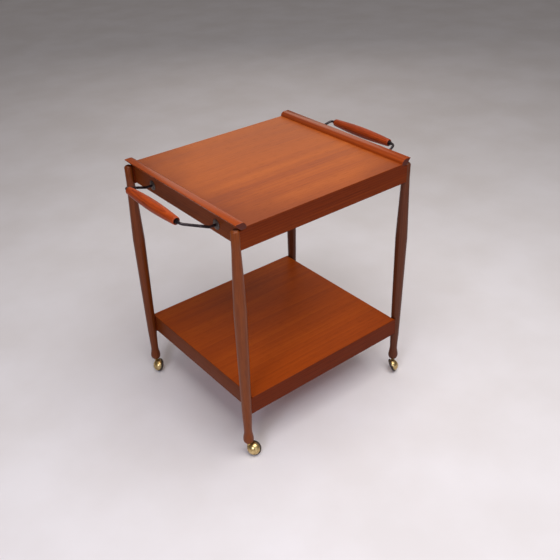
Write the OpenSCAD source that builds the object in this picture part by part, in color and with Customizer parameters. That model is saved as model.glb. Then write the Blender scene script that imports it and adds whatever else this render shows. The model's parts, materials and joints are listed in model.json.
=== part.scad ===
// Bar cart on wheels: an upper tray box and a lower shelf box hung between four turned legs,
// with a raised rail and a grip handle at each end and a ball caster under each leg.
// Millimetres, +Z up, floor at z = 0, X runs from handle to handle, Y from front to back.

/* [Boxes] */
// Width of both boxes over their side boards
carcass_w = 540; // [460:1:620]
// Depth of both boxes over their front and back boards
carcass_d = 510; // [430:1:590]
// Height of the tray surface above the floor
tray_h = 706.5; // [640:0.5:780]
// Height of the upper box
tray_box_h = 57.5; // [45:0.5:80]
// Height of the shelf surface above the floor
shelf_h = 198.5; // [170:0.5:260]
// Height of the lower box
shelf_box_h = 55.5; // [45:0.5:80]
// Thickness of every board and panel
board_t = 16; // [12:0.5:20]
// Rounding of the outer top edges
arris_r = 1.6; // [0.6:0.1:3]
// Side of the triangular glue blocks inside the corners
block_side = 42; // [25:1:60]
// Height of the glue blocks
block_h = 34; // [20:1:38]

/* [Rails] */
// Radius of the rail's rounded inner face
rail_round_r = 14; // [10:0.5:18]
// Height of the rail's crest above the tray surface
rail_rise = 13; // [8:0.5:18]
// Depth of the rebate that the rail sits in
rail_sink = 5.5; // [3:0.5:8]
// How far the rail's lip hangs out past the side board
rail_lip = 19; // [12:0.5:24]

/* [Legs] */
// Distance of a leg's axis outside the side board
leg_out = 15; // [14:0.5:18]
// Distance of a leg's axis inside the front or back board's face
leg_in = 9; // [6:0.5:10]
// Height of the foot's lower end above the floor
foot_z = 41; // [40:0.5:50]
// Radius of the foot at its widest
foot_r = 14.7; // [12:0.1:17]
// Radius of the ankle above the foot
ankle_r = 11.3; // [9:0.1:13]
// Radius of the leg at its widest
swell_r = 17.1; // [14:0.1:20]
// Height of the widest part above the floor
swell_z = 472; // [350:1:560]
// Radius of the straight neck beside the tray box
neck_r = 11.3; // [9:0.1:12.5]
// Radius of the dowels that pin the boards to the legs
dowel_r = 4; // [3:0.5:5]

/* [Handles] */
// Distance of the grip's axis outside the side board
grip_out = 87.5; // [70:0.5:110]
// Depth of the grip's axis below the tray surface
grip_drop = 8; // [0:0.5:20]
// Length of the wooden grip
grip_len = 225; // [160:1:260]
// Radius of the grip at its middle
grip_mid_r = 15; // [12:0.1:18]
// Radius of the grip at its ends
grip_end_r = 10.4; // [8:0.1:12]
// Radius of the iron rod
rod_r = 3.6; // [3:0.1:5]
// Half the distance between the rod's two fixings
rod_foot_y = 148; // [130:1:170]
// Half the distance between the rod's outer corners
rod_corner_y = 131.5; // [124:0.5:150]
// Depth of the rod's fixings below the tray surface
rod_foot_drop = 33.5; // [24:0.5:42]
// Length of the rod's level part outside the side board
rod_level = 20; // [12:0.5:30]

/* [Casters] */
// Outer radius of the tyre
tyre_r = 21; // [18:0.5:25]
// Half the width of the tyre
tyre_half = 3.5; // [3:0.1:5]
// Lean of the wheel from upright, in degrees
wheel_lean = 27; // [15:1:32]
// Distance of the wheel's centre behind the swivel axis
caster_trail = 13.4; // [10:0.1:18]
// Distance of the wheel's centre to the side of the swivel axis
caster_side = 3.6; // [0:0.1:6]
// Outer radius of the domed hood
hood_r = 19.6; // [16:0.1:22]
// Turn of the front left caster about its stem, in degrees
caster_turn_fl = 30; // [-180:1:180]
// Turn of the back left caster about its stem, in degrees
caster_turn_bl = -8; // [-180:1:180]
// Turn of the front right caster about its stem, in degrees
caster_turn_fr = 141; // [-180:1:180]
// Turn of the back right caster about its stem, in degrees
caster_turn_br = -30; // [-180:1:180]

/* [Hidden] */
half_w = carcass_w / 2;
half_d = carcass_d / 2;
leg_x = half_w + leg_out;
leg_y = half_d - leg_in;
// facets of round shapes, and steps of a curve in an outline
fine = 96;
steps = 8;
// how far a cutting shape runs past what it cuts
over = 1;

// rail: its inner face, the rounding at its foot, and its lip's edge and root
rail_in = half_w - 12;
rail_low_r = 4.5;
rail_tip = half_w + rail_lip;
// rounded edge of the lip, each point in from the tip and down from the crest
lip_edge = [[2.4, 0.5], [0.7, 0.9], [0, 1.8], [0.4, 2.8]];
lip_root_in = 8;
lip_root_z = 1;
rail_foot_out = 3;

// joint between the long boards and the legs
tenon_x = leg_x - 6;
tenon_drop = 7.5;
housing_in = 10;
dowel_fit = 0.05;
dowel_short = 0.4;
dowel_in_leg = 11;
dowel_in_board = 18;
dowel_y = half_d - board_t / 2;
// heights of a board's two dowels as shares of the board's height
dowel_lifts = [0.27, 0.68];

// leg stations, bottom to top
foot_bottom_r = 8;
foot_wide_z = 53.5;
ankle_z = 82;
shin_z = 136;
shin_r = 13;
shin_curve = 1.6;
swell_blend = 14;
swell_low_r = swell_r - 0.25;
swell_high_r = swell_r - 0.35;
calf_r = (shin_r + swell_r) / 2 + 0.15;
neck_z = tray_h - tray_box_h + 8;
shoulder_z = neck_z - 22;
shoulder_r = neck_r + 0.75;
collar_bone_r = (shoulder_r + neck_r) / 2 - 0.1;
leg_top = tray_h - 1.5;
dome_h = 7;

// handles
grip_x = half_w + grip_out;
grip_z = tray_h - grip_drop;
rod_foot_z = tray_h - rod_foot_drop;
rod_end_x = half_w - board_t - 9.5;
rod_bend_r = 14;
grip_bend_r = 11;
run_clear = 0.08;
grip_edge = 1.6;
grip_curve = 1.8;
cup_r = 7.4;
cup_depth = 5;
collar_r = 5.6;
collar_w = 5;
collar_gap = 0.6;
rosette_r = 13.5;
rosette_t = 3.2;
// outline of the rosette's dome from its rim inwards, each point in from the rim and up from the board
rosette_dome = [[0, 1], [1.4, 1.9], [5, 2.8]];
rosette_boss = 2;
washer_r = 9;
washer_t = 1.6;
nut_r = 7.4;
nut_t = 5.4;
touch = 0.02;
swage_w = 1.2;
swage_rise = 0.1;
swage_gap = 0.2;

// casters
ring_r = tyre_r - tyre_half;
tyre_steps = 48;
wheel_z = ring_r * cos(wheel_lean) + tyre_half;
hood_t = 1.8;
hood_face = 5.7;
hood_clear_z = 4;
seat_gap = 0.1;
stem_boss_sink = 3;
axle_boss_h = 8;
axle_boss_sink = 2;
stem_r = 4;
foot_gap = 0.4;
stem_bottom = 32.4;
stem_top = foot_z + 30;
neck_low = 34.6;
collar_stem_r = 4.75;
socket_r = 5.6;
socket_fit = 0.05;
socket_over = 1.5;
boss_r = 5.4;
axle_r = 2.5;
axle_fit = 0.06;
axle_start = -16.2;
axle_head_gap = 0.25;
axle_head_r = 4.2;
axle_head_top_r = 3.2;
axle_head_h = 1.2;
hub_face = 4.8;
hub_back = 7;
hub_r = 5.2;
web_r = 12.6;
web_back = 1.6;
rim_r = 13.4;
core_r = 16;
flange_r = 18.3;
flange_back = 5;
flange_front = 3.7;

// each corner's name, its side in X and in Y, and its caster's turn
corners = [["front_left", -1, -1, caster_turn_fl], ["front_right", 1, -1, caster_turn_fr],
    ["back_left", -1, 1, caster_turn_bl], ["back_right", 1, 1, caster_turn_br]];

function unit(v) = v / norm(v);

// ---- boxes ----

// A panel mitred all round, its upper face at the height top
module mitred_panel(top) {
    translate([0, 0, top]) intersection() {
        rotate([90, 0, 0]) linear_extrude(carcass_d + 2 * over, center = true)
            polygon([[-half_w, 0], [half_w, 0], [half_w - board_t, -board_t], [board_t - half_w, -board_t]]);
        rotate([90, 0, 90]) linear_extrude(carcass_w + 2 * over, center = true)
            polygon([[-half_d, 0], [half_d, 0], [half_d - board_t, -board_t], [board_t - half_d, -board_t]]);
    }
}

// Section of the waste outside a rounded edge at the origin, with the board below it and to its left
module arris_waste() {
    difference() {
        square(2 * arris_r, center = true);
        translate([-arris_r, -arris_r]) circle(arris_r, $fn = fine);
        translate([-2 * arris_r, 0]) square([2 * arris_r, 4 * arris_r], center = true);
        translate([0, -2 * arris_r]) square([4 * arris_r, 2 * arris_r], center = true);
    }
}

// Waste outside the front and the back edge
module long_arris(top) {
    for (m = [0, 1]) mirror([0, m, 0]) translate([0, half_d, top]) rotate([90, 0, 90])
        linear_extrude(2 * leg_x, center = true) arris_waste();
}

// Waste outside the left and the right edge
module cross_arris(top) {
    for (m = [0, 1]) mirror([m, 0, 0]) translate([half_w, 0, top]) rotate([90, 0, 0])
        linear_extrude(carcass_d + 2 * over, center = true) arris_waste();
}

// Section of the right rail: rounded inner face, flat top, thin lip, underside sloping back in
module rail_section() {
    crest_x = rail_in + rail_round_r;
    round_z = rail_rise - rail_round_r;
    low_x = rail_in + rail_low_r;
    low_z = rail_low_r - rail_sink;
    polygon(concat(
        [for (i = [0:steps]) let (a = 180 - 90 * i / steps)
            [crest_x + rail_round_r * cos(a), round_z + rail_round_r * sin(a)]],
        [for (e = lip_edge) [rail_tip - e.x, rail_rise - e.y]],
        [[rail_tip - lip_root_in, lip_root_z], [half_w + rail_foot_out, -rail_sink]],
        [for (i = [0:steps / 2]) let (a = 270 - 90 * i / (steps / 2))
            if (i < steps / 2) [low_x + rail_low_r * cos(a), low_z + rail_low_r * sin(a)]]));
}

module rail(past = 0) {
    translate([0, 0, tray_h]) rotate([90, 0, 0])
        linear_extrude(carcass_d + 2 * past, center = true) rail_section();
}

module both_rails(past) {
    rail(past);
    mirror([1, 0, 0]) rail(past);
}

// Front board: full width, with its two ends running on into the legs
module long_board(top, h, drop) {
    union() {
        translate([-half_w, -half_d, top - h]) cube([carcass_w, board_t, h]);
        translate([-tenon_x, -half_d, top - h]) cube([2 * tenon_x, board_t, h - drop]);
    }
}

module side_board(top, h) {
    translate([half_w - board_t, board_t - half_d, top - h]) cube([board_t, carcass_d - 2 * board_t, h]);
}

// Holes for the dowels of one front board, two at each end
module dowel_row(bottom, h, r, extra) {
    for (side = [-1, 1], lift = dowel_lifts)
        translate([side * (tenon_x - dowel_in_board - extra), -dowel_y, bottom + lift * h])
            rotate([0, side * 90, 0])
                cylinder(r = r, h = dowel_in_board + dowel_in_leg + 2 * extra, $fn = fine);
}

module corner_blocks(top) {
    bx = half_w - board_t;
    by = half_d - board_t;
    for (sx = [-1, 1], sy = [-1, 1]) translate([0, 0, top - board_t - block_h])
        linear_extrude(block_h)
            polygon([[sx * bx, sy * by], [sx * (bx - block_side), sy * by], [sx * bx, sy * (by - block_side)]]);
}

module tray_panel() {
    color("#b8693f") difference() {
        mitred_panel(tray_h);
        both_rails(over);
        long_arris(tray_h);
    }
}

module tray_front_board() {
    color("#6e3418") difference() {
        long_board(tray_h, tray_box_h, tenon_drop);
        mitred_panel(tray_h);
        both_rails(over);
        long_arris(tray_h);
        dowel_row(tray_h - tray_box_h, tray_box_h - tenon_drop, dowel_r, 0);
    }
}

module tray_right_board() {
    color("#5c2c16") difference() {
        side_board(tray_h, tray_box_h);
        mitred_panel(tray_h);
        both_rails(over);
        for (side = [-1, 1]) translate([half_w - board_t - over, side * rod_foot_y, rod_foot_z])
            rotate([0, 90, 0]) cylinder(r = rod_r + touch, h = board_t + 2 * over, $fn = fine);
    }
}

module shelf_panel() {
    color("#8a4522") difference() {
        mitred_panel(shelf_h);
        long_arris(shelf_h);
        cross_arris(shelf_h);
    }
}

module shelf_front_board() {
    color("#6e3418") difference() {
        long_board(shelf_h, shelf_box_h, arris_r);
        mitred_panel(shelf_h);
        long_arris(shelf_h);
        intersection() {
            cross_arris(shelf_h);
            translate([-half_w, -half_d, shelf_h - arris_r]) cube([carcass_w, board_t, 2 * arris_r]);
        }
        dowel_row(shelf_h - shelf_box_h, shelf_box_h, dowel_r, 0);
    }
}

module shelf_right_board() {
    color("#5c2c16") difference() {
        side_board(shelf_h, shelf_box_h);
        mitred_panel(shelf_h);
        cross_arris(shelf_h);
    }
}

module tray_leg_dowels() {
    color("#c9a577") for (m = [0, 1]) mirror([0, m, 0])
        dowel_row(tray_h - tray_box_h, tray_box_h - tenon_drop, dowel_r - dowel_fit, -dowel_short);
}

module shelf_leg_dowels() {
    color("#c9a577") for (m = [0, 1]) mirror([0, m, 0])
        dowel_row(shelf_h - shelf_box_h, shelf_box_h, dowel_r - dowel_fit, -dowel_short);
}

// ---- legs ----

// Half section of a turned leg
module leg_section() {
    dome_r = (neck_r * neck_r + dome_h * dome_h) / (2 * dome_h);
    dome_a = asin(neck_r / dome_r);
    polygon(concat(
        [[0, foot_z]],
        [for (i = [0:steps]) let (a = 90 * i / steps)
            [foot_bottom_r + (foot_r - foot_bottom_r) * sin(a), foot_wide_z - (foot_wide_z - foot_z) * cos(a)]],
        [for (i = [1:steps]) let (u = i / steps)
            [ankle_r + (foot_r - ankle_r) * (1 + cos(180 * u)) / 2, foot_wide_z + (ankle_z - foot_wide_z) * u]],
        [for (i = [1:steps]) let (u = i / steps)
            [ankle_r + (shin_r - ankle_r) * pow(u, shin_curve), ankle_z + (shin_z - ankle_z) * u]],
        [[calf_r, (shin_z + swell_z) / 2], [swell_low_r, swell_z - swell_blend], [swell_r, swell_z],
         [swell_high_r, swell_z + swell_blend], [shoulder_r, shoulder_z],
         [collar_bone_r, (shoulder_z + neck_z) / 2], [neck_r, neck_z]],
        [for (i = [0:steps - 1]) let (a = dome_a * (1 - i / steps))
            [dome_r * sin(a), leg_top - dome_r + dome_r * cos(a)]],
        [[0, leg_top]]));
}

// Front right leg: housed for both boards, drilled for their dowels and for the caster socket
module leg() {
    color("#7a4429") difference() {
        translate([leg_x, -leg_y, 0]) rotate_extrude($fn = fine) leg_section();
        translate([half_w - housing_in, -half_d, tray_h - tray_box_h])
            cube([tenon_x - half_w + housing_in, board_t, tray_box_h - tenon_drop]);
        translate([half_w - housing_in, -half_d, shelf_h - shelf_box_h])
            cube([tenon_x - half_w + housing_in, board_t, shelf_box_h - arris_r]);
        dowel_row(tray_h - tray_box_h, tray_box_h - tenon_drop, dowel_r, 0);
        dowel_row(shelf_h - shelf_box_h, shelf_box_h, dowel_r, 0);
        translate([leg_x, -leg_y, foot_z - over])
            cylinder(r = socket_r, h = stem_top - foot_z + over + socket_over + foot_gap, $fn = fine);
    }
}

// Takes the front right leg to the corner c
module place_leg(c) {
    mirror([c[1] < 0 ? 1 : 0, 0, 0]) mirror([0, c[2] > 0 ? 1 : 0, 0]) children();
}

// ---- handles ----

// Places its child, drawn along +Z, so that it runs from a towards b
module along(a, b) {
    z = unit(b - a);
    x = unit(cross(abs(z.z) < 0.9 ? [0, 0, 1] : [1, 0, 0], z));
    y = cross(z, x);
    multmatrix([[x.x, y.x, z.x, a.x], [x.y, y.y, z.y, a.y], [x.z, y.z, z.z, a.z], [0, 0, 0, 1]]) children();
}

module rod_run(a, b) {
    along(a, b) cylinder(r = rod_r, h = norm(b - a), $fn = fine);
}

// Low swage mark round the rod at p, where a bend in direction u starts or ends
module rod_swage(p, u) {
    along(p - u * swage_w / 2, p + u * swage_w / 2) cylinder(r = rod_r + swage_rise, h = swage_w, $fn = fine);
}

// Bend of the rod at the corner p, from direction u to direction v
module rod_bend(p, u, v, bend) {
    turn = acos(u * v);
    start = p - u * bend * tan(turn / 2);
    inward = unit(v - u * (u * v));
    x = -inward;
    z = cross(x, u);
    c = start + inward * bend;
    multmatrix([[x.x, u.x, z.x, c.x], [x.y, u.y, z.y, c.y], [x.z, u.z, z.z, c.z], [0, 0, 0, 1]])
        rotate_extrude(angle = turn, $fn = fine) translate([bend, 0]) circle(rod_r, $fn = fine);
}

// Rod's bent end: level through the side board, up to the outer corner, round into the grip's line
module rod_end() {
    foot = [rod_end_x, rod_foot_y, rod_foot_z];
    knee = [half_w + rod_level, rod_foot_y, rod_foot_z];
    corner = [grip_x, rod_corner_y, grip_z];
    u = [1, 0, 0];
    v = unit(corner - knee);
    w = [0, -1, 0];
    knee_cut = rod_bend_r * tan(acos(u * v) / 2);
    corner_cut = grip_bend_r * tan(acos(v * w) / 2);
    rod_run(foot, knee - u * (knee_cut + swage_gap));
    rod_swage(knee - u * knee_cut, u);
    rod_bend(knee, u, v, rod_bend_r);
    rod_swage(knee + v * knee_cut, v);
    rod_run(knee + v * (knee_cut + swage_gap), corner - v * (corner_cut + swage_gap));
    rod_swage(corner - v * corner_cut, v);
    rod_bend(corner, v, w, grip_bend_r);
    rod_swage(corner + w * corner_cut, w);
}

module handle_rod() {
    rise = unit([grip_x - half_w - rod_level, rod_corner_y - rod_foot_y, grip_z - rod_foot_z]);
    straight = rod_corner_y - grip_bend_r * tan(acos(-rise.y) / 2) - swage_gap;
    color("#2b2928") union() {
        rod_end();
        mirror([0, 1, 0]) rod_end();
        rod_run([grip_x, -straight, grip_z], [grip_x, straight, grip_z]);
    }
}

module grip() {
    half = grip_len / 2;
    color("#a5502c") translate([grip_x, 0, grip_z]) rotate([90, 0, 0]) difference() {
        rotate_extrude($fn = fine) polygon(concat(
            [[0, -half], [grip_end_r - grip_edge, -half]],
            [for (i = [-2 * steps:2 * steps]) let (u = i / (2 * steps))
                [grip_mid_r - (grip_mid_r - grip_end_r) * pow(abs(u), grip_curve), u * (half - grip_edge)]],
            [[grip_end_r - grip_edge, half], [0, half]]));
        cylinder(r = rod_r + run_clear, h = grip_len + 2 * over, center = true, $fn = fine);
        for (side = [-1, 1]) translate([0, 0, side * half])
            cylinder(r = cup_r, h = 2 * cup_depth, center = true, $fn = fine);
    }
}

module rod_collars() {
    color("#35312f") for (mx = [0, 1], side = [-1, 1]) mirror([mx, 0, 0])
        translate([grip_x, side * (grip_len / 2 + collar_gap + collar_w / 2), grip_z]) rotate([90, 0, 0])
            difference() {
                cylinder(r = collar_r, h = collar_w, center = true, $fn = fine);
                cylinder(r = rod_r + touch, h = collar_w + 2 * over, center = true, $fn = fine);
            }
}

// Domed disc round the rod where it enters the side board
module rod_rosettes() {
    color("#35312f") for (mx = [0, 1], side = [-1, 1]) mirror([mx, 0, 0])
        translate([half_w, side * rod_foot_y, rod_foot_z]) rotate([0, 90, 0]) difference() {
            rotate_extrude($fn = fine) polygon(concat([[0, 0], [rosette_r, 0]],
                [for (d = rosette_dome) [rosette_r - d.x, d.y]],
                [[rod_r + rosette_boss, rosette_t], [0, rosette_t]]));
            translate([0, 0, -over]) cylinder(r = rod_r + touch, h = rosette_t + 2 * over, $fn = fine);
        }
}

module rod_washers() {
    color("#8c8a86") for (mx = [0, 1], side = [-1, 1]) mirror([mx, 0, 0])
        translate([half_w - board_t - washer_t, side * rod_foot_y, rod_foot_z]) rotate([0, 90, 0])
            difference() {
                cylinder(r = washer_r, h = washer_t, $fn = fine);
                translate([0, 0, -over]) cylinder(r = rod_r + touch, h = washer_t + 2 * over, $fn = fine);
            }
}

module rod_nuts() {
    color("#8c8a86") for (mx = [0, 1], side = [-1, 1]) mirror([mx, 0, 0])
        translate([half_w - board_t - washer_t - nut_t, side * rod_foot_y, rod_foot_z]) rotate([0, 90, 0])
            difference() {
                cylinder(r = nut_r, h = nut_t, $fn = 6);
                translate([0, 0, -over]) cylinder(r = rod_r + touch, h = nut_t + 2 * over, $fn = fine);
            }
}

// ---- casters ----
// Each is drawn with its stem on the Z axis, its wheel's exposed face towards +X and its wheel
// trailing towards -Y. The right-hand casters are mirror images of the left-hand ones.

module place_caster(c) {
    translate([c[1] * leg_x, c[2] * leg_y, 0]) rotate([0, 0, c[3]])
        mirror([0, c[1] > 0 ? 1 : 0, 0]) children();
}

// Frame of the leaning axle: +Z points out of the wheel's exposed face
module on_axle() {
    translate([caster_side, -caster_trail, wheel_z]) rotate([0, 90 + wheel_lean, 0]) children();
}

module caster_socket() {
    difference() {
        translate([0, 0, foot_z]) cylinder(r = socket_r - touch, h = stem_top - foot_z + socket_over, $fn = fine);
        translate([0, 0, foot_z - over])
            cylinder(r = stem_r + socket_fit, h = stem_top - foot_z + over + foot_gap, $fn = fine);
    }
}

module caster_sockets() {
    color("#b08d3c") for (c = corners) translate([c[1] * leg_x, c[2] * leg_y, 0]) caster_socket();
}

module caster_stem() {
    color("#c39b45") union() {
        translate([0, 0, stem_bottom]) cylinder(r = stem_r, h = stem_top - stem_bottom, $fn = fine);
        translate([0, 0, neck_low]) cylinder(r = collar_stem_r, h = foot_z - foot_gap - neck_low, $fn = fine);
    }
}

module caster_hood() {
    color("#c9a24c") difference() {
        union() {
            on_axle() difference() {
                sphere(r = hood_r, $fn = fine);
                sphere(r = hood_r - hood_t, $fn = fine);
            }
            on_axle() translate([0, 0, axle_start - axle_boss_sink])
                cylinder(r = boss_r - foot_gap, h = axle_boss_h, $fn = fine);
            translate([0, 0, stem_bottom - stem_boss_sink])
                cylinder(r = boss_r, h = neck_low - seat_gap - stem_bottom + stem_boss_sink, $fn = fine);
        }
        on_axle() translate([0, 0, -hood_face]) cylinder(r = 2 * hood_r, h = 3 * hood_r, $fn = fine);
        on_axle() translate([0, 0, axle_start]) cylinder(r = axle_r, h = hood_r, $fn = fine);
        translate([0, 0, stem_bottom]) cylinder(r = stem_r, h = hood_r, $fn = fine);
        translate([0, 0, neck_low - seat_gap]) cylinder(r = collar_stem_r + touch, h = hood_r, $fn = fine);
        translate([0, 0, hood_clear_z - tyre_r]) cube([4 * tyre_r, 4 * tyre_r, 2 * tyre_r], center = true);
    }
}

module caster_axle() {
    color("#8c8a86") on_axle() union() {
        translate([0, 0, axle_start])
            cylinder(r = axle_r - touch, h = hub_face + axle_head_gap - axle_start, $fn = fine);
        translate([0, 0, hub_face + axle_head_gap])
            cylinder(r1 = axle_head_r, r2 = axle_head_top_r, h = axle_head_h, $fn = fine);
    }
}

// Dished brass wheel: hub, web, rim under the tyre and a flange beside it on the hood's side
module caster_wheel() {
    color("#c9a24c") on_axle() difference() {
        rotate_extrude($fn = fine) polygon([[0, -hub_back], [hub_r, -hub_back], [hub_r, -web_back],
            [web_r, -web_back], [rim_r, -flange_back], [flange_r, -flange_back], [flange_r, -flange_front],
            [core_r, -flange_front], [core_r, tyre_half - 0.2], [web_r, tyre_half + 0.5],
            [hub_r, hub_face], [0, hub_face]]);
        translate([0, 0, -hub_back - over])
            cylinder(r = axle_r + axle_fit, h = hub_back + hub_face + 2 * over, $fn = fine);
    }
}

module caster_tyre() {
    color("#26231f") on_axle() rotate_extrude($fn = fine) union() {
        translate([ring_r, 0]) circle(tyre_half, $fn = tyre_steps);
        translate([core_r + touch, -tyre_half]) square([ring_r - core_r - touch, 2 * tyre_half]);
    }
}

tray_panel();
tray_front_board();
mirror([0, 1, 0]) tray_front_board();  // tray_back_board
mirror([1, 0, 0]) tray_right_board();  // tray_left_board
tray_right_board();
color("#b98a58") corner_blocks(tray_h);  // tray_corner_blocks
color("#9c4a26") mirror([1, 0, 0]) rail();  // left_rail
color("#9c4a26") rail();  // right_rail
shelf_panel();
shelf_front_board();
mirror([0, 1, 0]) shelf_front_board();  // shelf_back_board
mirror([1, 0, 0]) shelf_right_board();  // shelf_left_board
shelf_right_board();
color("#b98a58") corner_blocks(shelf_h);  // shelf_corner_blocks
tray_leg_dowels();
shelf_leg_dowels();
mirror([1, 0, 0]) handle_rod();  // left_handle_rod
handle_rod();  // right_handle_rod
mirror([1, 0, 0]) grip();  // left_grip
grip();  // right_grip
rod_collars();
rod_rosettes();
rod_washers();
rod_nuts();
caster_sockets();
for (c = corners) {
    place_leg(c) leg();
    place_caster(c) caster_stem();
    place_caster(c) caster_hood();
    place_caster(c) caster_axle();
    place_caster(c) caster_wheel();
    place_caster(c) caster_tyre();
}
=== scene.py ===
import json
import math

import bmesh
import bpy
from mathutils import Matrix, Vector


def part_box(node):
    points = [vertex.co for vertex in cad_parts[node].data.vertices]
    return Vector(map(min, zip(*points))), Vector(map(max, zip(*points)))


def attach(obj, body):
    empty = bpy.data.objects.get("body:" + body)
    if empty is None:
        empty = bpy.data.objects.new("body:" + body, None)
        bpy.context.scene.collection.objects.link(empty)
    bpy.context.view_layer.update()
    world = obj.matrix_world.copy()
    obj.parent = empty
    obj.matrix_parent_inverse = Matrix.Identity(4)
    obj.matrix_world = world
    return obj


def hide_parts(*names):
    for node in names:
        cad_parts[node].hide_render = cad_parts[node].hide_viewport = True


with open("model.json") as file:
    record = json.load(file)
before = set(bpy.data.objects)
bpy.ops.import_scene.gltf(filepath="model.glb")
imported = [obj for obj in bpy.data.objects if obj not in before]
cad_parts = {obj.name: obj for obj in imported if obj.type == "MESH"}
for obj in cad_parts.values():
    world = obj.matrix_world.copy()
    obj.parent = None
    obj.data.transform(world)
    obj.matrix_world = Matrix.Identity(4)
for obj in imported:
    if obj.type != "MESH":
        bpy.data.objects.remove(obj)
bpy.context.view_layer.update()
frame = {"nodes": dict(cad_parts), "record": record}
cadNodes = frame["nodes"]
print("frame loaded:", len(cadNodes), "nodes")

corners = ("front_left", "front_right", "back_left", "back_right")


# Turns an sRGB hex value into the linear colour that the shaders take
def toLinear(code):
    value = code.lstrip("#")
    channels = [int(value[i:i + 2], 16) / 255 for i in (0, 2, 4)]
    linear = [c / 12.92 if c <= 0.04045 else ((c + 0.055) / 1.055) ** 2.4 for c in channels]
    return (*linear, 1.0)


# Adds one node: plain settings, inputs as values or as sockets to link, and a ramp's stops
def addNode(tree, kind, settings=None, inputs=None, stops=None):
    node = tree.nodes.new(kind)
    for name, value in (settings or {}).items():
        setattr(node, name, value)
    for key, value in (inputs or {}).items():
        if isinstance(value, bpy.types.NodeSocket):
            tree.links.new(value, node.inputs[key])
        else:
            node.inputs[key].default_value = value
    if stops:
        elements = node.color_ramp.elements
        while len(elements) < len(stops):
            elements.new(1.0)
        for element, (position, colour) in zip(elements, stops):
            element.position = position
            element.color = colour
    return node


def startMaterial(name):
    material = bpy.data.materials.new(name)
    material.use_nodes = True
    material.node_tree.nodes.clear()
    return material, material.node_tree


black = (0.0, 0.0, 0.0, 1.0)
white = (1.0, 1.0, 1.0, 1.0)

# Turns that bring the grain direction on to the pattern's own Z axis
grainTurns = {
    "x": (0.0, math.radians(-90), 0.0),
    "y": (math.radians(90), 0.0, 0.0),
    "z": (0.0, 0.0, 0.0),
}
grainVectors = {"x": (1.0, 0.0, 0.0), "y": (0.0, 1.0, 0.0), "z": (0.0, 0.0, 1.0)}


# Steps that all the woods share: stops of the pore and tone ramps, and how far pores and cut ends
# change the gloss
grain = {
    "waveUnit": 0.314,  # length of one wave in the ring texture's own unit
    "poreStretch": 0.07,
    "poreStarts": 0.56,
    "poreFull": 0.70,
    "darkTone": 0.30,
    "midTone": 0.50,
    "lightTone": 0.70,
    "endStarts": 0.80,
    "endFull": 0.97,
    "endMost": 0.85,
    "darkGloss": -0.05,
    "lightGloss": 0.06,
    "poreMatt": 0.2,
    "endMatt": 0.45,
    "poreSink": -0.8,
    "reliefMetres": 0.0004,
    "ior": 1.5,
}

# Where the painted shade rim starts and is full, as distances in half axes of its oval plus the clouds'
# share
rimStarts = 0.95
rimFull = 1.65


# Painted shade: a darker rim round a flat top, lighter in its middle where the light falls fullest: an oval
# with a cloudy border
def paintedShadeRim(tree, place, surface, paintedShade):
    oval = addNode(tree, "ShaderNodeMapping", {"vector_type": "TEXTURE"}, {
        "Vector": place,
        "Location": paintedShade["centre"],
        "Scale": paintedShade["reach"],
    })
    distance = addNode(tree, "ShaderNodeVectorMath", {"operation": "LENGTH"}, {0: oval.outputs[0]})
    clouds = addNode(tree, "ShaderNodeTexNoise", inputs={
        "Vector": place,
        "Scale": 1000 / paintedShade["cloudMm"],
        "Detail": 3.0,
    })
    border = addNode(tree, "ShaderNodeMath", {"operation": "MULTIPLY_ADD"}, {
        0: clouds.outputs[0],
        1: paintedShade["cloudShare"],
        2: distance.outputs["Value"],
    })
    share = addNode(tree, "ShaderNodeMapRange", {"interpolation_type": "SMOOTHSTEP"}, {
        "Value": border.outputs[0],
        "From Min": rimStarts,
        "From Max": rimFull,
        "To Min": 0.0,
        "To Max": paintedShade["depth"],
    })
    mixed = addNode(tree, "ShaderNodeMix", {"data_type": "RGBA"}, {
        0: share.outputs[0],
        6: surface,
        7: toLinear(paintedShade["tone"]),
    })
    return mixed.outputs[2]


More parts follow.
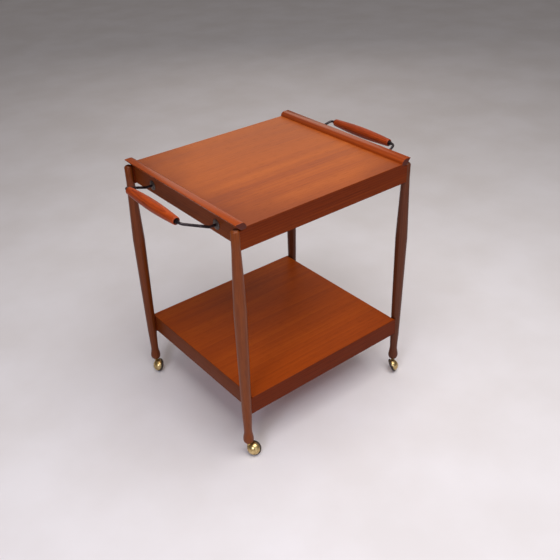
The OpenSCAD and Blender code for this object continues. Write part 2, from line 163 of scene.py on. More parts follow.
# Teak, pine or beech as one block of timber: growth rings round a far pith, long fibre streaks,
# open pores and a slow drift of tone. Cut ends come out darker because they drink more oil.
def makeWood(name, look):
    material, tree = startMaterial(name)
    where = addNode(tree, "ShaderNodeTexCoord")
    turned = addNode(tree, "ShaderNodeMapping", inputs={
        "Vector": where.outputs["Object"],
        "Rotation": grainTurns[look["grain"]],
        "Location": look["pith"],
    })
    ringSpace = addNode(tree, "ShaderNodeMapping", inputs={
        "Vector": turned.outputs[0],
        "Scale": (1.0, 1.0, look["ringStretch"]),
    })
    rings = addNode(tree, "ShaderNodeTexWave", {
        "wave_type": "RINGS",
        "rings_direction": "Z",
        "wave_profile": "SAW",
    }, {
        "Vector": ringSpace.outputs[0],
        "Scale": grain["waveUnit"] / look["ringMm"] * 1000,
        "Distortion": look["ringWander"],
        "Detail": 2.0,
        "Detail Scale": 0.9,
        "Detail Roughness": 0.55,
    })
    fibreSpace = addNode(tree, "ShaderNodeMapping", inputs={
        "Vector": turned.outputs[0],
        "Scale": (1.0, 1.0, look["fibreStretch"]),
    })
    streaks = addNode(tree, "ShaderNodeTexNoise", inputs={
        "Vector": fibreSpace.outputs[0],
        "Scale": 1000 / look["streakMm"],
        "Detail": 4.0,
        "Roughness": 0.62,
    })
    poreSpace = addNode(tree, "ShaderNodeMapping", inputs={
        "Vector": turned.outputs[0],
        "Scale": (1.0, 1.0, grain["poreStretch"]),
    })
    pores = addNode(tree, "ShaderNodeTexNoise", inputs={
        "Vector": poreSpace.outputs[0],
        "Scale": 1000 / look["poreMm"],
        "Detail": 1.0,
        "Roughness": 0.5,
    })
    poreLines = addNode(tree, "ShaderNodeValToRGB", inputs={"Fac": pores.outputs[0]}, stops=[
        (grain["poreStarts"], black),
        (grain["poreFull"], white),
    ])
    drift = addNode(tree, "ShaderNodeTexNoise", inputs={
        "Vector": fibreSpace.outputs[0],
        "Scale": 1000 / look["driftMm"],
        "Detail": 2.0,
        "Roughness": 0.5,
    })
    ringPart = addNode(tree, "ShaderNodeMath", {"operation": "MULTIPLY"}, {
        0: rings.outputs[1],
        1: look["ringShare"],
    })
    withStreaks = addNode(tree, "ShaderNodeMath", {"operation": "MULTIPLY_ADD"}, {
        0: streaks.outputs[0],
        1: look["streakShare"],
        2: ringPart.outputs[0],
    })
    tone = addNode(tree, "ShaderNodeMath", {"operation": "MULTIPLY_ADD"}, {
        0: drift.outputs[0],
        1: 1.0 - look["ringShare"] - look["streakShare"],
        2: withStreaks.outputs[0],
    })
    body = addNode(tree, "ShaderNodeValToRGB", inputs={"Fac": tone.outputs[0]}, stops=[
        (grain["darkTone"], toLinear(look["dark"])),
        (grain["midTone"], toLinear(look["mid"])),
        (grain["lightTone"], toLinear(look["light"])),
    ])
    poreShade = addNode(tree, "ShaderNodeMath", {"operation": "MULTIPLY"}, {
        0: poreLines.outputs[0],
        1: look["poreDepth"],
    })
    withPores = addNode(tree, "ShaderNodeMix", {"data_type": "RGBA"}, {
        0: poreShade.outputs[0],
        6: body.outputs[0],
        7: toLinear(look["pore"]),
    })
    endOn = addNode(tree, "ShaderNodeVectorMath", {"operation": "DOT_PRODUCT"}, {
        0: where.outputs["Normal"],
        1: grainVectors[look["grain"]],
    })
    endSize = addNode(tree, "ShaderNodeMath", {"operation": "ABSOLUTE"}, {0: endOn.outputs["Value"]})
    endShare = addNode(tree, "ShaderNodeMapRange", inputs={
        "Value": endSize.outputs[0],
        "From Min": grain["endStarts"],
        "From Max": grain["endFull"],
        "To Min": 0.0,
        "To Max": grain["endMost"],
    })
    surface = withPores.outputs[2]
    # Painted shade: a darker rim towards the edges of a flat top
    if "paintedShade" in look:
        surface = paintedShadeRim(tree, where.outputs["Object"], surface, look["paintedShade"])
    colour = addNode(tree, "ShaderNodeMix", {"data_type": "RGBA"}, {
        0: endShare.outputs[0],
        6: surface,
        7: toLinear(look["endGrain"]),
    })
    sheen = addNode(tree, "ShaderNodeMapRange", inputs={
        "Value": tone.outputs[0],
        "From Min": grain["darkTone"],
        "From Max": grain["lightTone"],
        "To Min": look["roughness"] + grain["darkGloss"],
        "To Max": look["roughness"] + grain["lightGloss"],
    })
    withPoreMatt = addNode(tree, "ShaderNodeMath", {"operation": "MULTIPLY_ADD"}, {
        0: poreShade.outputs[0],
        1: grain["poreMatt"],
        2: sheen.outputs[0],
    })
    roughness = addNode(tree, "ShaderNodeMath", {"operation": "MULTIPLY_ADD", "use_clamp": True}, {
        0: endShare.outputs[0],
        1: grain["endMatt"],
        2: withPoreMatt.outputs[0],
    })
    relief = addNode(tree, "ShaderNodeMath", {"operation": "MULTIPLY_ADD"}, {
        0: poreLines.outputs[0],
        1: grain["poreSink"],
        2: streaks.outputs[0],
    })
    bump = addNode(tree, "ShaderNodeBump", inputs={
        "Height": relief.outputs[0],
        "Strength": look["bump"],
        "Distance": grain["reliefMetres"],
    })
    shader = addNode(tree, "ShaderNodeBsdfPrincipled", inputs={
        "Base Color": colour.outputs[2],
        "Roughness": roughness.outputs[0],
        "Normal": bump.outputs[0],
        "IOR": grain["ior"],
        "Specular IOR Level": look["shine"],
    })
    addNode(tree, "ShaderNodeOutputMaterial", inputs={"Surface": shader.outputs[0]})
    return material


teak = {
    "ringMm": 7.0, "ringStretch": 0.04, "ringWander": 4.0, "fibreStretch": 0.012,
    "streakMm": 7.0, "poreMm": 2.2, "driftMm": 110.0, "ringShare": 0.16, "streakShare": 0.34,
    "poreDepth": 0.22, "roughness": 0.42, "shine": 0.06, "bump": 0.08,
    "pore": "#2c0f06", "endGrain": "#2e0f0c",
}

# Satin oiled teak, one mix for each kind of piece: flat sawn veneer on the two tops, plainer solid
# wood elsewhere, and a darker copy of the leg teak on the two right-hand legs as painted shade
woods = {
    # The darker rims on the tray and shelf tops are painted shade, where the light falls off towards their
    # edges
    "trayTeak": {**teak, "grain": "x", "pith": (0.9, 0.02, 0.0), "dark": "#83370e", "mid": "#9c4b16",
                 "light": "#aa5822", "shine": 0.22, "roughness": 0.38, "ringShare": 0.1,
                 "streakShare": 0.26, "driftMm": 60.0, "fibreStretch": 0.05,
                 "paintedShade": {"centre": (0.08, 0.04, 0.7065), "reach": (0.31, 0.28, 1.0), "cloudMm": 90,
                           "cloudShare": 0.5, "depth": 0.62, "tone": "#64250f"}},
    "shelfTeak": {**teak, "grain": "x", "pith": (0.7, -0.06, 0.3), "dark": "#8d390a", "mid": "#a2450c",
                  "light": "#b05212", "shine": 0.08, "ringShare": 0.12, "streakShare": 0.28,
                  "driftMm": 70.0, "fibreStretch": 0.04,
                  "paintedShade": {"centre": (0.04, 0.02, 0.1985), "reach": (0.32, 0.29, 1.0), "cloudMm": 120,
                            "cloudShare": 0.5, "depth": 0.4, "tone": "#6e2807"}},
    "boardTeak": {**teak, "grain": "x", "pith": (0.4, 0.3, 0.1), "dark": "#521c08", "mid": "#652509",
                  "light": "#78320e"},
    "sideTeak": {**teak, "grain": "y", "pith": (0.5, -0.3, 0.2), "dark": "#5c280f", "mid": "#6e3212",
                 "light": "#7c3e19"},
    "railTeak": {**teak, "grain": "y", "pith": (0.12, -0.5, 0.0), "dark": "#762c08", "mid": "#903b0b",
                 "light": "#a34912", "streakMm": 4.0, "shine": 0.36, "roughness": 0.22,
                 "endGrain": "#3a0c06"},
    "legTeak": {**teak, "grain": "z", "pith": (0.11, 0.07, 0.0), "dark": "#52220a", "mid": "#6b310f",
                "light": "#7e3f18", "streakMm": 4.0, "ringMm": 6.0, "ringShare": 0.08, "driftMm": 70.0,
                "shine": 0.22, "roughness": 0.3},
    # Painted shade: the leg teak made darker for the two right-hand legs, on the side away from the window
    "brownLegTeak": {**teak, "grain": "z", "pith": (0.09, -0.08, 0.0), "dark": "#3f1d0e", "mid": "#522917",
                     "light": "#623420", "streakMm": 4.0, "ringMm": 6.0, "ringShare": 0.08,
                     "driftMm": 70.0, "shine": 0.18, "roughness": 0.3},
    "gripTeak": {**teak, "grain": "y", "pith": (0.06, -0.4, 0.1), "dark": "#6f240a", "mid": "#993a0d",
                 "light": "#b24e1a", "streakMm": 5.0, "ringMm": 5.0, "driftMm": 45.0, "fibreStretch": 0.08,
                 "poreDepth": 0.35, "shine": 0.24},
    # Raw sawn pine: pale, dry and woolly, on the glue blocks that nobody sees
    "blockPine": {**teak, "grain": "x", "pith": (0.1, 0.4, 0.0), "dark": "#b98c56", "mid": "#cfa571",
                  "light": "#dcb986", "roughness": 0.75, "pore": "#a87a48",
                  "endGrain": "#a98055", "bump": 0.4, "ringShare": 0.4},
    # Turned beech dowel: pale, close grained, with short flecks
    "dowelBeech": {**teak, "grain": "x", "pith": (0.05, 0.2, 0.0), "dark": "#bd9468", "mid": "#cba57a",
                   "light": "#d8b68e", "roughness": 0.7, "pore": "#a9815a",
                   "endGrain": "#b28d63", "poreMm": 1.6},
}


# Steps that all the metals share: where the dull and the bright tone are full, and the relief's depth
tarnish = {
    "dullTone": 0.34,
    "brightTone": 0.62,
    "smudgeStarts": 0.3,
    "smudgeFull": 0.7,
    "reliefMetres": 0.0002,
}


# Metals: a bright and a dull tone drifting into each other, smudged roughness, fine surface relief
def makeMetal(name, look):
    material, tree = startMaterial(name)
    where = addNode(tree, "ShaderNodeTexCoord")
    patches = addNode(tree, "ShaderNodeTexNoise", inputs={
        "Vector": where.outputs["Object"],
        "Scale": 1000 / look["patchMm"],
        "Detail": 4.0,
        "Roughness": 0.6,
    })
    colour = addNode(tree, "ShaderNodeValToRGB", inputs={"Fac": patches.outputs[0]}, stops=[
        (tarnish["dullTone"], toLinear(look["dull"])),
        (tarnish["brightTone"], toLinear(look["bright"])),
    ])
    smudges = addNode(tree, "ShaderNodeMapRange", inputs={
        "Value": patches.outputs[0],
        "From Min": tarnish["smudgeStarts"],
        "From Max": tarnish["smudgeFull"],
        "To Min": look["roughness"] + look["smudge"],
        "To Max": look["roughness"],
    })
    grit = addNode(tree, "ShaderNodeTexNoise", inputs={
        "Vector": where.outputs["Object"],
        "Scale": 1000 / look["gritMm"],
        "Detail": 3.0,
        "Roughness": 0.6,
    })
    bump = addNode(tree, "ShaderNodeBump", inputs={
        "Height": grit.outputs[0],
        "Strength": look["bump"],
        "Distance": tarnish["reliefMetres"],
    })
    shader = addNode(tree, "ShaderNodeBsdfPrincipled", inputs={
        "Base Color": colour.outputs[0],
        "Metallic": look["metallic"],
        "Roughness": smudges.outputs[0],
        "Normal": bump.outputs[0],
    })
    addNode(tree, "ShaderNodeOutputMaterial", inputs={"Surface": shader.outputs[0]})
    return material


metals = {
    # Forged iron rod, blackened in oil: near black with a cold, uneven shine from the hammer scale
    "blackIron": {"bright": "#4b4449", "dull": "#1b181b", "patchMm": 14, "roughness": 0.28,
                  "smudge": 0.2, "gritMm": 2.2, "bump": 0.5, "metallic": 0.85},
    # Cast iron rose, wiped back to dull grey on its high parts
    "gunmetal": {"bright": "#6e645f", "dull": "#3b3533", "patchMm": 7, "roughness": 0.38,
                 "smudge": 0.18, "gritMm": 1.6, "bump": 0.45, "metallic": 0.9},
    # Zinc plated steel: pale, faintly blue, gone matt
    "zincSteel": {"bright": "#a3a29e", "dull": "#7b7a77", "patchMm": 6, "roughness": 0.36,
                  "smudge": 0.15, "gritMm": 0.8, "bump": 0.2, "metallic": 1.0},
    # Pressed brass, polished once and since handled: yellow with browner tarnish
    "wornBrass": {"bright": "#dcc48e", "dull": "#a88a55", "patchMm": 11, "roughness": 0.26,
                  "smudge": 0.14, "gritMm": 3.0, "bump": 0.12, "metallic": 1.0},
}


# Moulded rubber tyre: brown black, matt, with floor dust in its lighter patches
def makeRubber(name, look):
    material, tree = startMaterial(name)
    where = addNode(tree, "ShaderNodeTexCoord")
    dust = addNode(tree, "ShaderNodeTexNoise", inputs={
        "Vector": where.outputs["Object"],
        "Scale": 1000 / look["dustMm"],
        "Detail": 5.0,
        "Roughness": 0.65,
    })
    colour = addNode(tree, "ShaderNodeValToRGB", inputs={"Fac": dust.outputs[0]}, stops=[
        (look["cleanTone"], toLinear(look["rubber"])),
        (look["dustyTone"], toLinear(look["dust"])),
    ])
    bump = addNode(tree, "ShaderNodeBump", inputs={
        "Height": dust.outputs[0],
        "Strength": look["bump"],
        "Distance": look["reliefMetres"],
    })
    shader = addNode(tree, "ShaderNodeBsdfPrincipled", inputs={
        "Base Color": colour.outputs[0],
        "Roughness": look["roughness"],
        "Normal": bump.outputs[0],
        "IOR": look["ior"],
    })
    addNode(tree, "ShaderNodeOutputMaterial", inputs={"Surface": shader.outputs[0]})
    return material


rubbers = {
    "tyreRubber": {"rubber": "#1f1712", "dust": "#4a3b2e", "dustMm": 5, "cleanTone": 0.35,
                   "dustyTone": 0.75, "bump": 0.3, "reliefMetres": 0.0002, "roughness": 0.62, "ior": 1.52},
}

finishes = {}
for name, look in woods.items():
    finishes[name] = makeWood(name, look)
for name, look in metals.items():
    finishes[name] = makeMetal(name, look)
for name, look in rubbers.items():
    finishes[name] = makeRubber(name, look)
print("materials made:", len(finishes))


# Pieces finished from the frame. Each gets clean faces and smooth turned surfaces; boards and rails
# also get a small eased edge where hands and cloths wear them
pieceLooks = {
    "tray_panel": {"finish": "trayTeak"},
    "tray_front_board": {"finish": "boardTeak", "ease": "low", "easeMm": 0.7},
    "tray_back_board": {"finish": "boardTeak", "ease": "low", "easeMm": 0.7},
    "tray_left_board": {"finish": "sideTeak", "ease": "low", "easeMm": 0.7},
    "tray_right_board": {"finish": "sideTeak", "ease": "low", "easeMm": 0.7},
    "tray_corner_blocks": {"finish": "blockPine"},
    "left_rail": {"finish": "railTeak", "ease": "ends", "easeMm": 0.6},
    "right_rail": {"finish": "railTeak", "ease": "ends", "easeMm": 0.6},
    "shelf_panel": {"finish": "shelfTeak"},
    "shelf_front_board": {"finish": "boardTeak", "ease": "low", "easeMm": 0.7},
    "shelf_back_board": {"finish": "boardTeak", "ease": "low", "easeMm": 0.7},
    "shelf_left_board": {"finish": "sideTeak", "ease": "low", "easeMm": 0.7},
    "shelf_right_board": {"finish": "sideTeak", "ease": "low", "easeMm": 0.7},
    "shelf_corner_blocks": {"finish": "blockPine"},
    "tray_leg_dowels": {"finish": "dowelBeech"},
    "shelf_leg_dowels": {"finish": "dowelBeech"},
    "left_grip": {"finish": "gripTeak"},
    "right_grip": {"finish": "gripTeak"},
    "rod_collars": {"finish": "blackIron"},
    "rod_rosettes": {"finish": "gunmetal"},
    "rod_washers": {"finish": "zincSteel"},
    "caster_sockets": {"finish": "wornBrass"},
}
for corner in corners:
    # The right-hand legs take the darker copy of the leg teak, painted shade for their side away from the
    # window
    pieceLooks[f"{corner}_leg"] = {"finish": "brownLegTeak" if "right" in corner else "legTeak"}
    pieceLooks[f"{corner}_caster_stem"] = {"finish": "wornBrass"}
    pieceLooks[f"{corner}_caster_hood"] = {"finish": "wornBrass"}
    pieceLooks[f"{corner}_caster_axle"] = {"finish": "zincSteel"}
    pieceLooks[f"{corner}_caster_wheel"] = {"finish": "wornBrass"}
    pieceLooks[f"{corner}_caster_tyre"] = {"finish": "tyreRubber"}

bodyOf = {}
for bodyName, members in frame["record"]["behaviour"]["bodies"].items():
    for member in members:
        bodyOf[member] = bodyName

smoothAngle = math.radians(32)
flatAngle = math.radians(0.4)
mergeDistance = 0.000004
onFace = 0.00002
creaseAngle = math.radians(50)
easeSteps = 3


# Edges to ease: "low" takes the long edges along a board's foot, "ends" the outline of both ends
def edgesToEase(mesh, how):
    lowest = min(v.co.z for v in mesh.verts)
    nearest = min(v.co.y for v in mesh.verts)
    farthest = max(v.co.y for v in mesh.verts)
    chosen = []
    for edge in mesh.edges:
        if len(edge.link_faces) != 2 or edge.calc_face_angle(0.0) < creaseAngle:
            continue
        a, b = (v.co for v in edge.verts)
        atEnd = max(a.y, b.y) < nearest + onFace or min(a.y, b.y) > farthest - onFace
        if how == "low" and max(a.z, b.z) < lowest + onFace:
            chosen.append(edge)
        if how == "ends" and atEnd:
            chosen.append(edge)
    return chosen


def finishPiece(nodeName, look):
    source = cadNodes[nodeName]
    mesh = bmesh.new()
    mesh.from_mesh(source.data)
    bmesh.ops.remove_doubles(mesh, verts=mesh.verts, dist=mergeDistance)
    bmesh.ops.dissolve_limit(mesh, angle_limit=flatAngle, verts=mesh.verts, edges=mesh.edges)
    if "ease" in look:
        bmesh.ops.bevel(mesh, geom=edgesToEase(mesh, look["ease"]), offset=look["easeMm"] / 1000,
                        segments=easeSteps, profile=0.5, affect="EDGES", clamp_overlap=True)
    data = bpy.data.meshes.new(f"{nodeName}_finish")
    mesh.to_mesh(data)
    mesh.free()
    data.shade_smooth()
    data.set_sharp_from_angle(angle=smoothAngle)
    data.materials.append(finishes[look["finish"]])
    piece = bpy.data.objects.new(f"{nodeName}_finish", data)
    bpy.context.scene.collection.objects.link(piece)
    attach(piece, bodyOf[nodeName])
    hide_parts(nodeName)
    return piece


for nodeName, look in pieceLooks.items():
    finishPiece(nodeName, look)
print("pieces finished:", len(pieceLooks))


# Starts a tree with its geometry sockets and its named inputs
def startTree(name, inputs):
    tree = bpy.data.node_groups.new(name, "GeometryNodeTree")
    tree.interface.new_socket("Geometry", in_out="INPUT", socket_type="NodeSocketGeometry")
    for title, kind in inputs.items():
        tree.interface.new_socket(title, in_out="INPUT", socket_type=kind)
    tree.interface.new_socket("Geometry", in_out="OUTPUT", socket_type="NodeSocketGeometry")
    return tree, addNode(tree, "NodeGroupInput")


def endTree(tree, geometry, material):
    whole = addNode(tree, "GeometryNodeRealizeInstances", inputs={"Geometry": geometry})
    painted = addNode(tree, "GeometryNodeSetMaterial", inputs={
        "Geometry": whole.outputs[0],
        "Material": material,
    })
    addNode(tree, "NodeGroupOutput", inputs={"Geometry": painted.outputs[0]})


# Runs a tree on a mesh of points or edges and keeps the result as one plain mesh object
def growPiece(name, data, tree, values):
    seed = bpy.data.objects.new(f"{name}_seed", data)
    bpy.context.scene.collection.objects.link(seed)
    modifier = seed.modifiers.new(name, "NODES")
    modifier.node_group = tree
    for item in tree.interface.items_tree:
        if item.in_out == "INPUT" and item.name in values:
            modifier[item.identifier] = values[item.name]
    grown = bpy.data.meshes.new_from_object(seed.evaluated_get(bpy.context.evaluated_depsgraph_get()))
    bpy.data.objects.remove(seed)
    mesh = bmesh.new()
    mesh.from_mesh(grown)
    bmesh.ops.remove_doubles(mesh, verts=mesh.verts, dist=mergeDistance)
    bmesh.ops.recalc_face_normals(mesh, faces=mesh.faces)
    mesh.to_mesh(grown)
    mesh.free()
    grown.shade_smooth()
    grown.set_sharp_from_angle(angle=smoothAngle)
    piece = bpy.data.objects.new(name, grown)
    bpy.context.scene.collection.objects.link(piece)
    return piece


rodLook = {
    "radiusMm": 3.6,
    "footYMm": 148.0,
    "cornerYMm": 131.5,
    "levelMm": 20.0,
    "kneeBendMm": 14.0,
    "cornerBendMm": 11.0,
    "bendSteps": 16,
    "roundSteps": 32,
}
gripLow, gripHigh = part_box("right_grip")
gripX = (gripLow.x + gripHigh.x) / 2
gripZ = (gripLow.z + gripHigh.z) / 2
nutLow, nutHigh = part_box("rod_nuts")
footZ = (nutLow.z + nutHigh.z) / 2
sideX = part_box("tray_right_board")[1].x
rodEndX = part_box("right_handle_rod")[0].x

rodTree, rodIn = startTree("bentRod", {
    "Rod radius": "NodeSocketFloat",
    "Bend steps": "NodeSocketInt",
    "Round steps": "NodeSocketInt",
})
rodCurve = addNode(rodTree, "GeometryNodeMeshToCurve", inputs={"Mesh": rodIn.outputs["Geometry"]})
bendRadius = addNode(rodTree, "GeometryNodeInputNamedAttribute", {"data_type": "FLOAT"}, {
    "Name": "bendRadius",
})
rodBent = addNode(rodTree, "GeometryNodeFilletCurve", {"mode": "POLY"}, {
    "Curve": rodCurve.outputs[0],
    "Count": rodIn.outputs["Bend steps"],
    "Radius": bendRadius.outputs[0],
})
rodRound = addNode(rodTree, "GeometryNodeCurvePrimitiveCircle", inputs={
    "Resolution": rodIn.outputs["Round steps"],
    "Radius": rodIn.outputs["Rod radius"],
})
rodSkin = addNode(rodTree, "GeometryNodeCurveToMesh", inputs={
    "Curve": rodBent.outputs[0],
    "Profile Curve": rodRound.outputs[0],
    "Fill Caps": True,
})
endTree(rodTree, rodSkin.outputs[0], finishes["blackIron"])


def bendRod(nodeName, side):
    footY = rodLook["footYMm"] / 1000
    cornerY = rodLook["cornerYMm"] / 1000
    kneeX = sideX + rodLook["levelMm"] / 1000
    half = [(rodEndX, footY, footZ), (kneeX, footY, footZ), (gripX, cornerY, gripZ)]
    path = half + [(x, -y, z) for x, y, z in reversed(half)]
    data = bpy.data.meshes.new(nodeName)
    data.from_pydata([(side * x, y, z) for x, y, z in path], [(i, i + 1) for i in range(5)], [])
    knee = rodLook["kneeBendMm"] / 1000
    corner = rodLook["cornerBendMm"] / 1000
    radii = data.attributes.new("bendRadius", "FLOAT", "POINT")
    radii.data.foreach_set("value", [0.0, knee, corner, corner, knee, 0.0])
    piece = growPiece(f"{nodeName}_finish", data, rodTree, {
        "Rod radius": rodLook["radiusMm"] / 1000,
        "Bend steps": rodLook["bendSteps"],
        "Round steps": rodLook["roundSteps"],
    })
    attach(piece, "cart")
    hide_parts(nodeName)
    return piece


bendRod("right_handle_rod", 1)
bendRod("left_handle_rod", -1)

nutLook = {
    "acrossCornersMm": 14.8,
    "heightMm": 5.4,
    "boreRadiusMm": 3.63,
    "coneShare": 0.92,
    "coneSlope": 0.58,
    "steps": 48,
}


# Hexagon nut standing on its base: both faces chamfered where the hexagon's corners pass a cone
def buildNut():
    mesh = bmesh.new()
    outer = nutLook["acrossCornersMm"] / 2000
    height = nutLook["heightMm"] / 1000
    bore = nutLook["boreRadiusMm"] / 1000
    flat = outer * math.cos(math.radians(30))
    cone = outer * nutLook["coneShare"]
    turns = [2 * math.pi * i / nutLook["steps"] for i in range(nutLook["steps"])]
    lowRim, lowSide, highSide, highRim, highBore, lowBore = [], [], [], [], [], []
    for turn in turns:
        fromFlat = math.radians(math.degrees(turn) % 60 - 30)
        edge = flat / math.cos(fromFlat)
        drop = max(0.0, edge - cone) * nutLook["coneSlope"]
        rim = min(edge, cone)
        side = min(edge, outer)
        for ring, radius, level in (
            (lowRim, rim, 0.0),
            (lowSide, side, drop),
            (highSide, side, height - drop),
            (highRim, rim, height),
            (highBore, bore, height),
            (lowBore, bore, 0.0),
        ):
            ring.append(mesh.verts.new((radius * math.cos(turn), radius * math.sin(turn), level)))
    rings = [lowRim, lowSide, highSide, highRim, highBore, lowBore]
    for first, second in zip(rings, rings[1:] + rings[:1]):
        for i in range(len(turns)):
            j = (i + 1) % len(turns)
            mesh.faces.new((first[i], first[j], second[j], second[i]))
    bmesh.ops.remove_doubles(mesh, verts=mesh.verts, dist=mergeDistance)
    bmesh.ops.recalc_face_normals(mesh, faces=mesh.faces)
    data = bpy.data.meshes.new("nut")
    mesh.to_mesh(data)
    mesh.free()
    return data


# The four points where a rod passes a side board, each with the turn that faces the way out
def fixingPoints(name, outX):
    places = [(side * outX, y * rodLook["footYMm"] / 1000, footZ) for side in (1, -1) for y in (1, -1)]
    data = bpy.data.meshes.new(name)
    data.from_pydata(places, [], [])
    turns = data.attributes.new("turn", "FLOAT_VECTOR", "POINT")
    values = []
    for place in places:
        values += [0.0, math.radians(90) if place[0] > 0 else math.radians(-90), 0.0]
    turns.data.foreach_set("vector", values)
    return data


nutTree, nutIn = startTree("nutsOnRods", {"Nut": "NodeSocketObject"})
nutSource = addNode(nutTree, "GeometryNodeObjectInfo", inputs={"Object": nutIn.outputs["Nut"]})
nutTurn = addNode(nutTree, "GeometryNodeInputNamedAttribute", {"data_type": "FLOAT_VECTOR"}, {
    "Name": "turn",
})
nutCopies = addNode(nutTree, "GeometryNodeInstanceOnPoints", inputs={
    "Points": nutIn.outputs["Geometry"],
    "Instance": nutSource.outputs["Geometry"],
    "Rotation": nutTurn.outputs[0],
})
endTree(nutTree, nutCopies.outputs[0], finishes["zincSteel"])

nutModel = bpy.data.objects.new("nutModel", buildNut())
bpy.context.scene.collection.objects.link(nutModel)
nuts = growPiece("rod_nuts_finish", fixingPoints("nutPoints", nutHigh.x - nutLook["heightMm"] / 1000),
                 nutTree, {"Nut": nutModel})
bpy.data.objects.remove(nutModel)
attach(nuts, "cart")
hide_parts("rod_nuts")

# Screw thread on each rod's inner end, standing clear of the nut
threadLook = {"pitchMm": 1.0, "turns": 2.2, "ridgeMm": 0.28, "stepsPerTurn": 28, "sides": 5, "startMm": 0.3}
threadTree, threadIn = startTree("rodThreads", {
    "Rod radius": "NodeSocketFloat",
    "Ridge radius": "NodeSocketFloat",
    "Turns": "NodeSocketFloat",
    "Length": "NodeSocketFloat",
    "Steps": "NodeSocketInt",
})
threadLine = addNode(threadTree, "GeometryNodeCurveSpiral", inputs={
    "Resolution": threadIn.outputs["Steps"],
    "Rotations": threadIn.outputs["Turns"],
    "Start Radius": threadIn.outputs["Rod radius"],
    "End Radius": threadIn.outputs["Rod radius"],
    "Height": threadIn.outputs["Length"],
})
threadRidge = addNode(threadTree, "GeometryNodeCurvePrimitiveCircle", inputs={
    "Resolution": threadLook["sides"],
    "Radius": threadIn.outputs["Ridge radius"],
})
threadSkin = addNode(threadTree, "GeometryNodeCurveToMesh", inputs={
    "Curve": threadLine.outputs[0],
    "Profile Curve": threadRidge.outputs[0],
    "Fill Caps": True,
})
threadTurn = addNode(threadTree, "GeometryNodeInputNamedAttribute", {"data_type": "FLOAT_VECTOR"}, {
    "Name": "turn",
})
threadCopies = addNode(threadTree, "GeometryNodeInstanceOnPoints", inputs={
    "Points": threadIn.outputs["Geometry"],
    "Instance": threadSkin.outputs[0],
    "Rotation": threadTurn.outputs[0],
})
endTree(threadTree, threadCopies.outputs[0], finishes["blackIron"])
threadX = rodEndX + threadLook["startMm"] / 1000
threads = growPiece("rod_threads", fixingPoints("threadPoints", threadX), threadTree, {
    "Rod radius": rodLook["radiusMm"] / 1000,
    "Ridge radius": threadLook["ridgeMm"] / 1000,
    "Turns": threadLook["turns"],
    "Length": threadLook["turns"] * threadLook["pitchMm"] / 1000,
    "Steps": threadLook["stepsPerTurn"],
})
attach(threads, "cart")
print("rods, nuts and threads grown")


# Floor and room light
studio = {
    "floorMetres": 14.0,
    "floorTone": "#e6e4ea",
    "floorShade": "#dfdce0",
    "skyTone": "#f0ebe8",
    "wallTone": "#c9b8a8",
    "skyStrength": 0.26,
    "wallTop": 0.25,
    "skyBottom": 0.7,
    "floorRoughness": 0.6,
    "cloudsPerMetre": 3.0,
    "shadeFull": 0.35,
    "toneFull": 0.65,
}


def buildFloor():
    material, tree = startMaterial("paleFloor")
    where = addNode(tree, "ShaderNodeTexCoord")
    clouds = addNode(tree, "ShaderNodeTexNoise", inputs={
        "Vector": where.outputs["Object"],
        "Scale": studio["cloudsPerMetre"],
        "Detail": 4.0,
    })
    colour = addNode(tree, "ShaderNodeValToRGB", inputs={"Fac": clouds.outputs[0]}, stops=[
        (studio["shadeFull"], toLinear(studio["floorShade"])),
        (studio["toneFull"], toLinear(studio["floorTone"])),
    ])
    shader = addNode(tree, "ShaderNodeBsdfPrincipled", inputs={
        "Base Color": colour.outputs[0],
        "Roughness": studio["floorRoughness"],
    })
    addNode(tree, "ShaderNodeOutputMaterial", inputs={"Surface": shader.outputs[0]})
    half = studio["floorMetres"] / 2
    data = bpy.data.meshes.new("floor")
    square = [(-half, -half, 0), (half, -half, 0), (half, half, 0), (-half, half, 0)]
    data.from_pydata(square, [], [(0, 1, 2, 3)])
    data.materials.append(material)
    floor = bpy.data.objects.new("floor", data)
    bpy.context.scene.collection.objects.link(floor)


# Even room light: paler overhead, warmer at the height of the walls
def buildWorld():
    world = bpy.data.worlds.new("room")
    world.use_nodes = True
    tree = world.node_tree
    tree.nodes.clear()
    where = addNode(tree, "ShaderNodeTexCoord")
    parts = addNode(tree, "ShaderNodeSeparateXYZ", inputs={0: where.outputs["Generated"]})
    height = addNode(tree, "ShaderNodeMapRange", inputs={
        "Value": parts.outputs["Z"],
        "From Min": studio["wallTop"],
        "From Max": studio["skyBottom"],
    })
    colour = addNode(tree, "ShaderNodeMix", {"data_type": "RGBA"}, {
        0: height.outputs[0],
        6: toLinear(studio["wallTone"]),
        7: toLinear(studio["skyTone"]),
    })
    background = addNode(tree, "ShaderNodeBackground", inputs={
        "Color": colour.outputs[2],
        "Strength": studio["skyStrength"],
    })
    addNode(tree, "ShaderNodeOutputWorld", inputs={"Surface": background.outputs[0]})
    bpy.context.scene.world = world


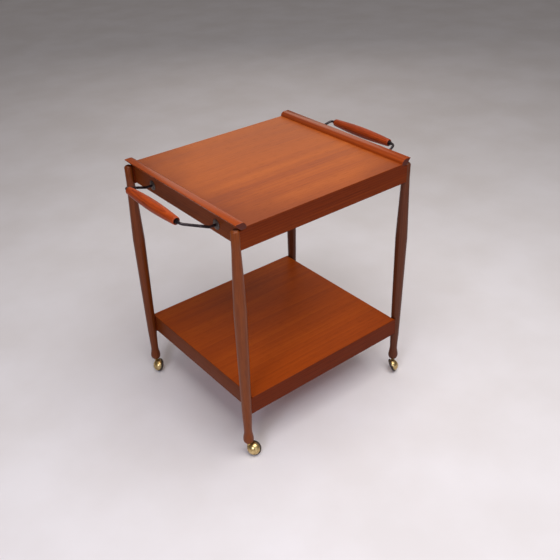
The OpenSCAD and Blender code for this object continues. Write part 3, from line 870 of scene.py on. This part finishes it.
# Ceiling panel overhead and a little in front, a low lamp in front that reaches under the shelf, a
# window on the left, and a pale wall's glow behind
lamps = {
    "ceiling": {"at": (0.0, -0.75, 2.5), "aim": (0.0, -0.3, 0.3),
                "size": 2.2, "watts": 58, "tone": "#fffaf4"},
    "frontFill": {"at": (-0.3, -2.7, 0.95), "aim": (-0.2, -0.4, 0.1),
                  "size": 1.1, "watts": 7, "tone": "#eef2ff"},
    "leftWindow": {"at": (-2.7, -1.6, 1.8), "aim": (-0.2, -0.5, 0.0),
                   "size": 1.0, "watts": 36, "tone": "#f0f0ff"},
    "wallGlow": {"at": (1.9, 2.4, 2.1), "aim": (0.0, 0.0, 0.7),
                 "size": 2.0, "watts": 10, "tone": "#fff0e0"},
}


def buildLamp(name, lamp):
    light = bpy.data.lights.new(name, "AREA")
    light.shape = "SQUARE"
    light.size = lamp["size"]
    light.energy = lamp["watts"]
    light.color = toLinear(lamp["tone"])[:3]
    holder = bpy.data.objects.new(name, light)
    holder.location = lamp["at"]
    beam = Vector(lamp["aim"]) - Vector(lamp["at"])
    holder.rotation_euler = beam.to_track_quat("-Z", "Y").to_euler()
    bpy.context.scene.collection.objects.link(holder)


shot = {
    "at": (-1.1162, -1.4634, 1.4960),
    "azimuthDeg": -38.185,
    "elevationDeg": 32.341,
    "rollDeg": -1.728,
    "lensMm": 47.153,
    "sensorMm": 36.0,
}


def buildCamera():
    azimuth = math.radians(shot["azimuthDeg"])
    elevation = math.radians(shot["elevationDeg"])
    roll = math.radians(shot["rollDeg"])
    back = Vector((math.sin(azimuth) * math.cos(elevation), -math.cos(azimuth) * math.cos(elevation),
                   math.sin(elevation)))
    levelRight = Vector((0, 0, 1)).cross(back).normalized()
    levelUp = back.cross(levelRight)
    right = levelRight * math.cos(roll) + levelUp * math.sin(roll)
    up = levelUp * math.cos(roll) - levelRight * math.sin(roll)
    data = bpy.data.cameras.new("camera")
    data.lens = shot["lensMm"]
    data.sensor_width = shot["sensorMm"]
    camera = bpy.data.objects.new("camera", data)
    camera.matrix_world = Matrix((
        (right.x, up.x, back.x, shot["at"][0]),
        (right.y, up.y, back.y, shot["at"][1]),
        (right.z, up.z, back.z, shot["at"][2]),
        (0, 0, 0, 1),
    ))
    bpy.context.scene.collection.objects.link(camera)
    bpy.context.scene.camera = camera


buildFloor()
buildWorld()
for name, lamp in lamps.items():
    buildLamp(name, lamp)
buildCamera()
bpy.context.scene.view_settings.view_transform = "Standard"
print("stage set")
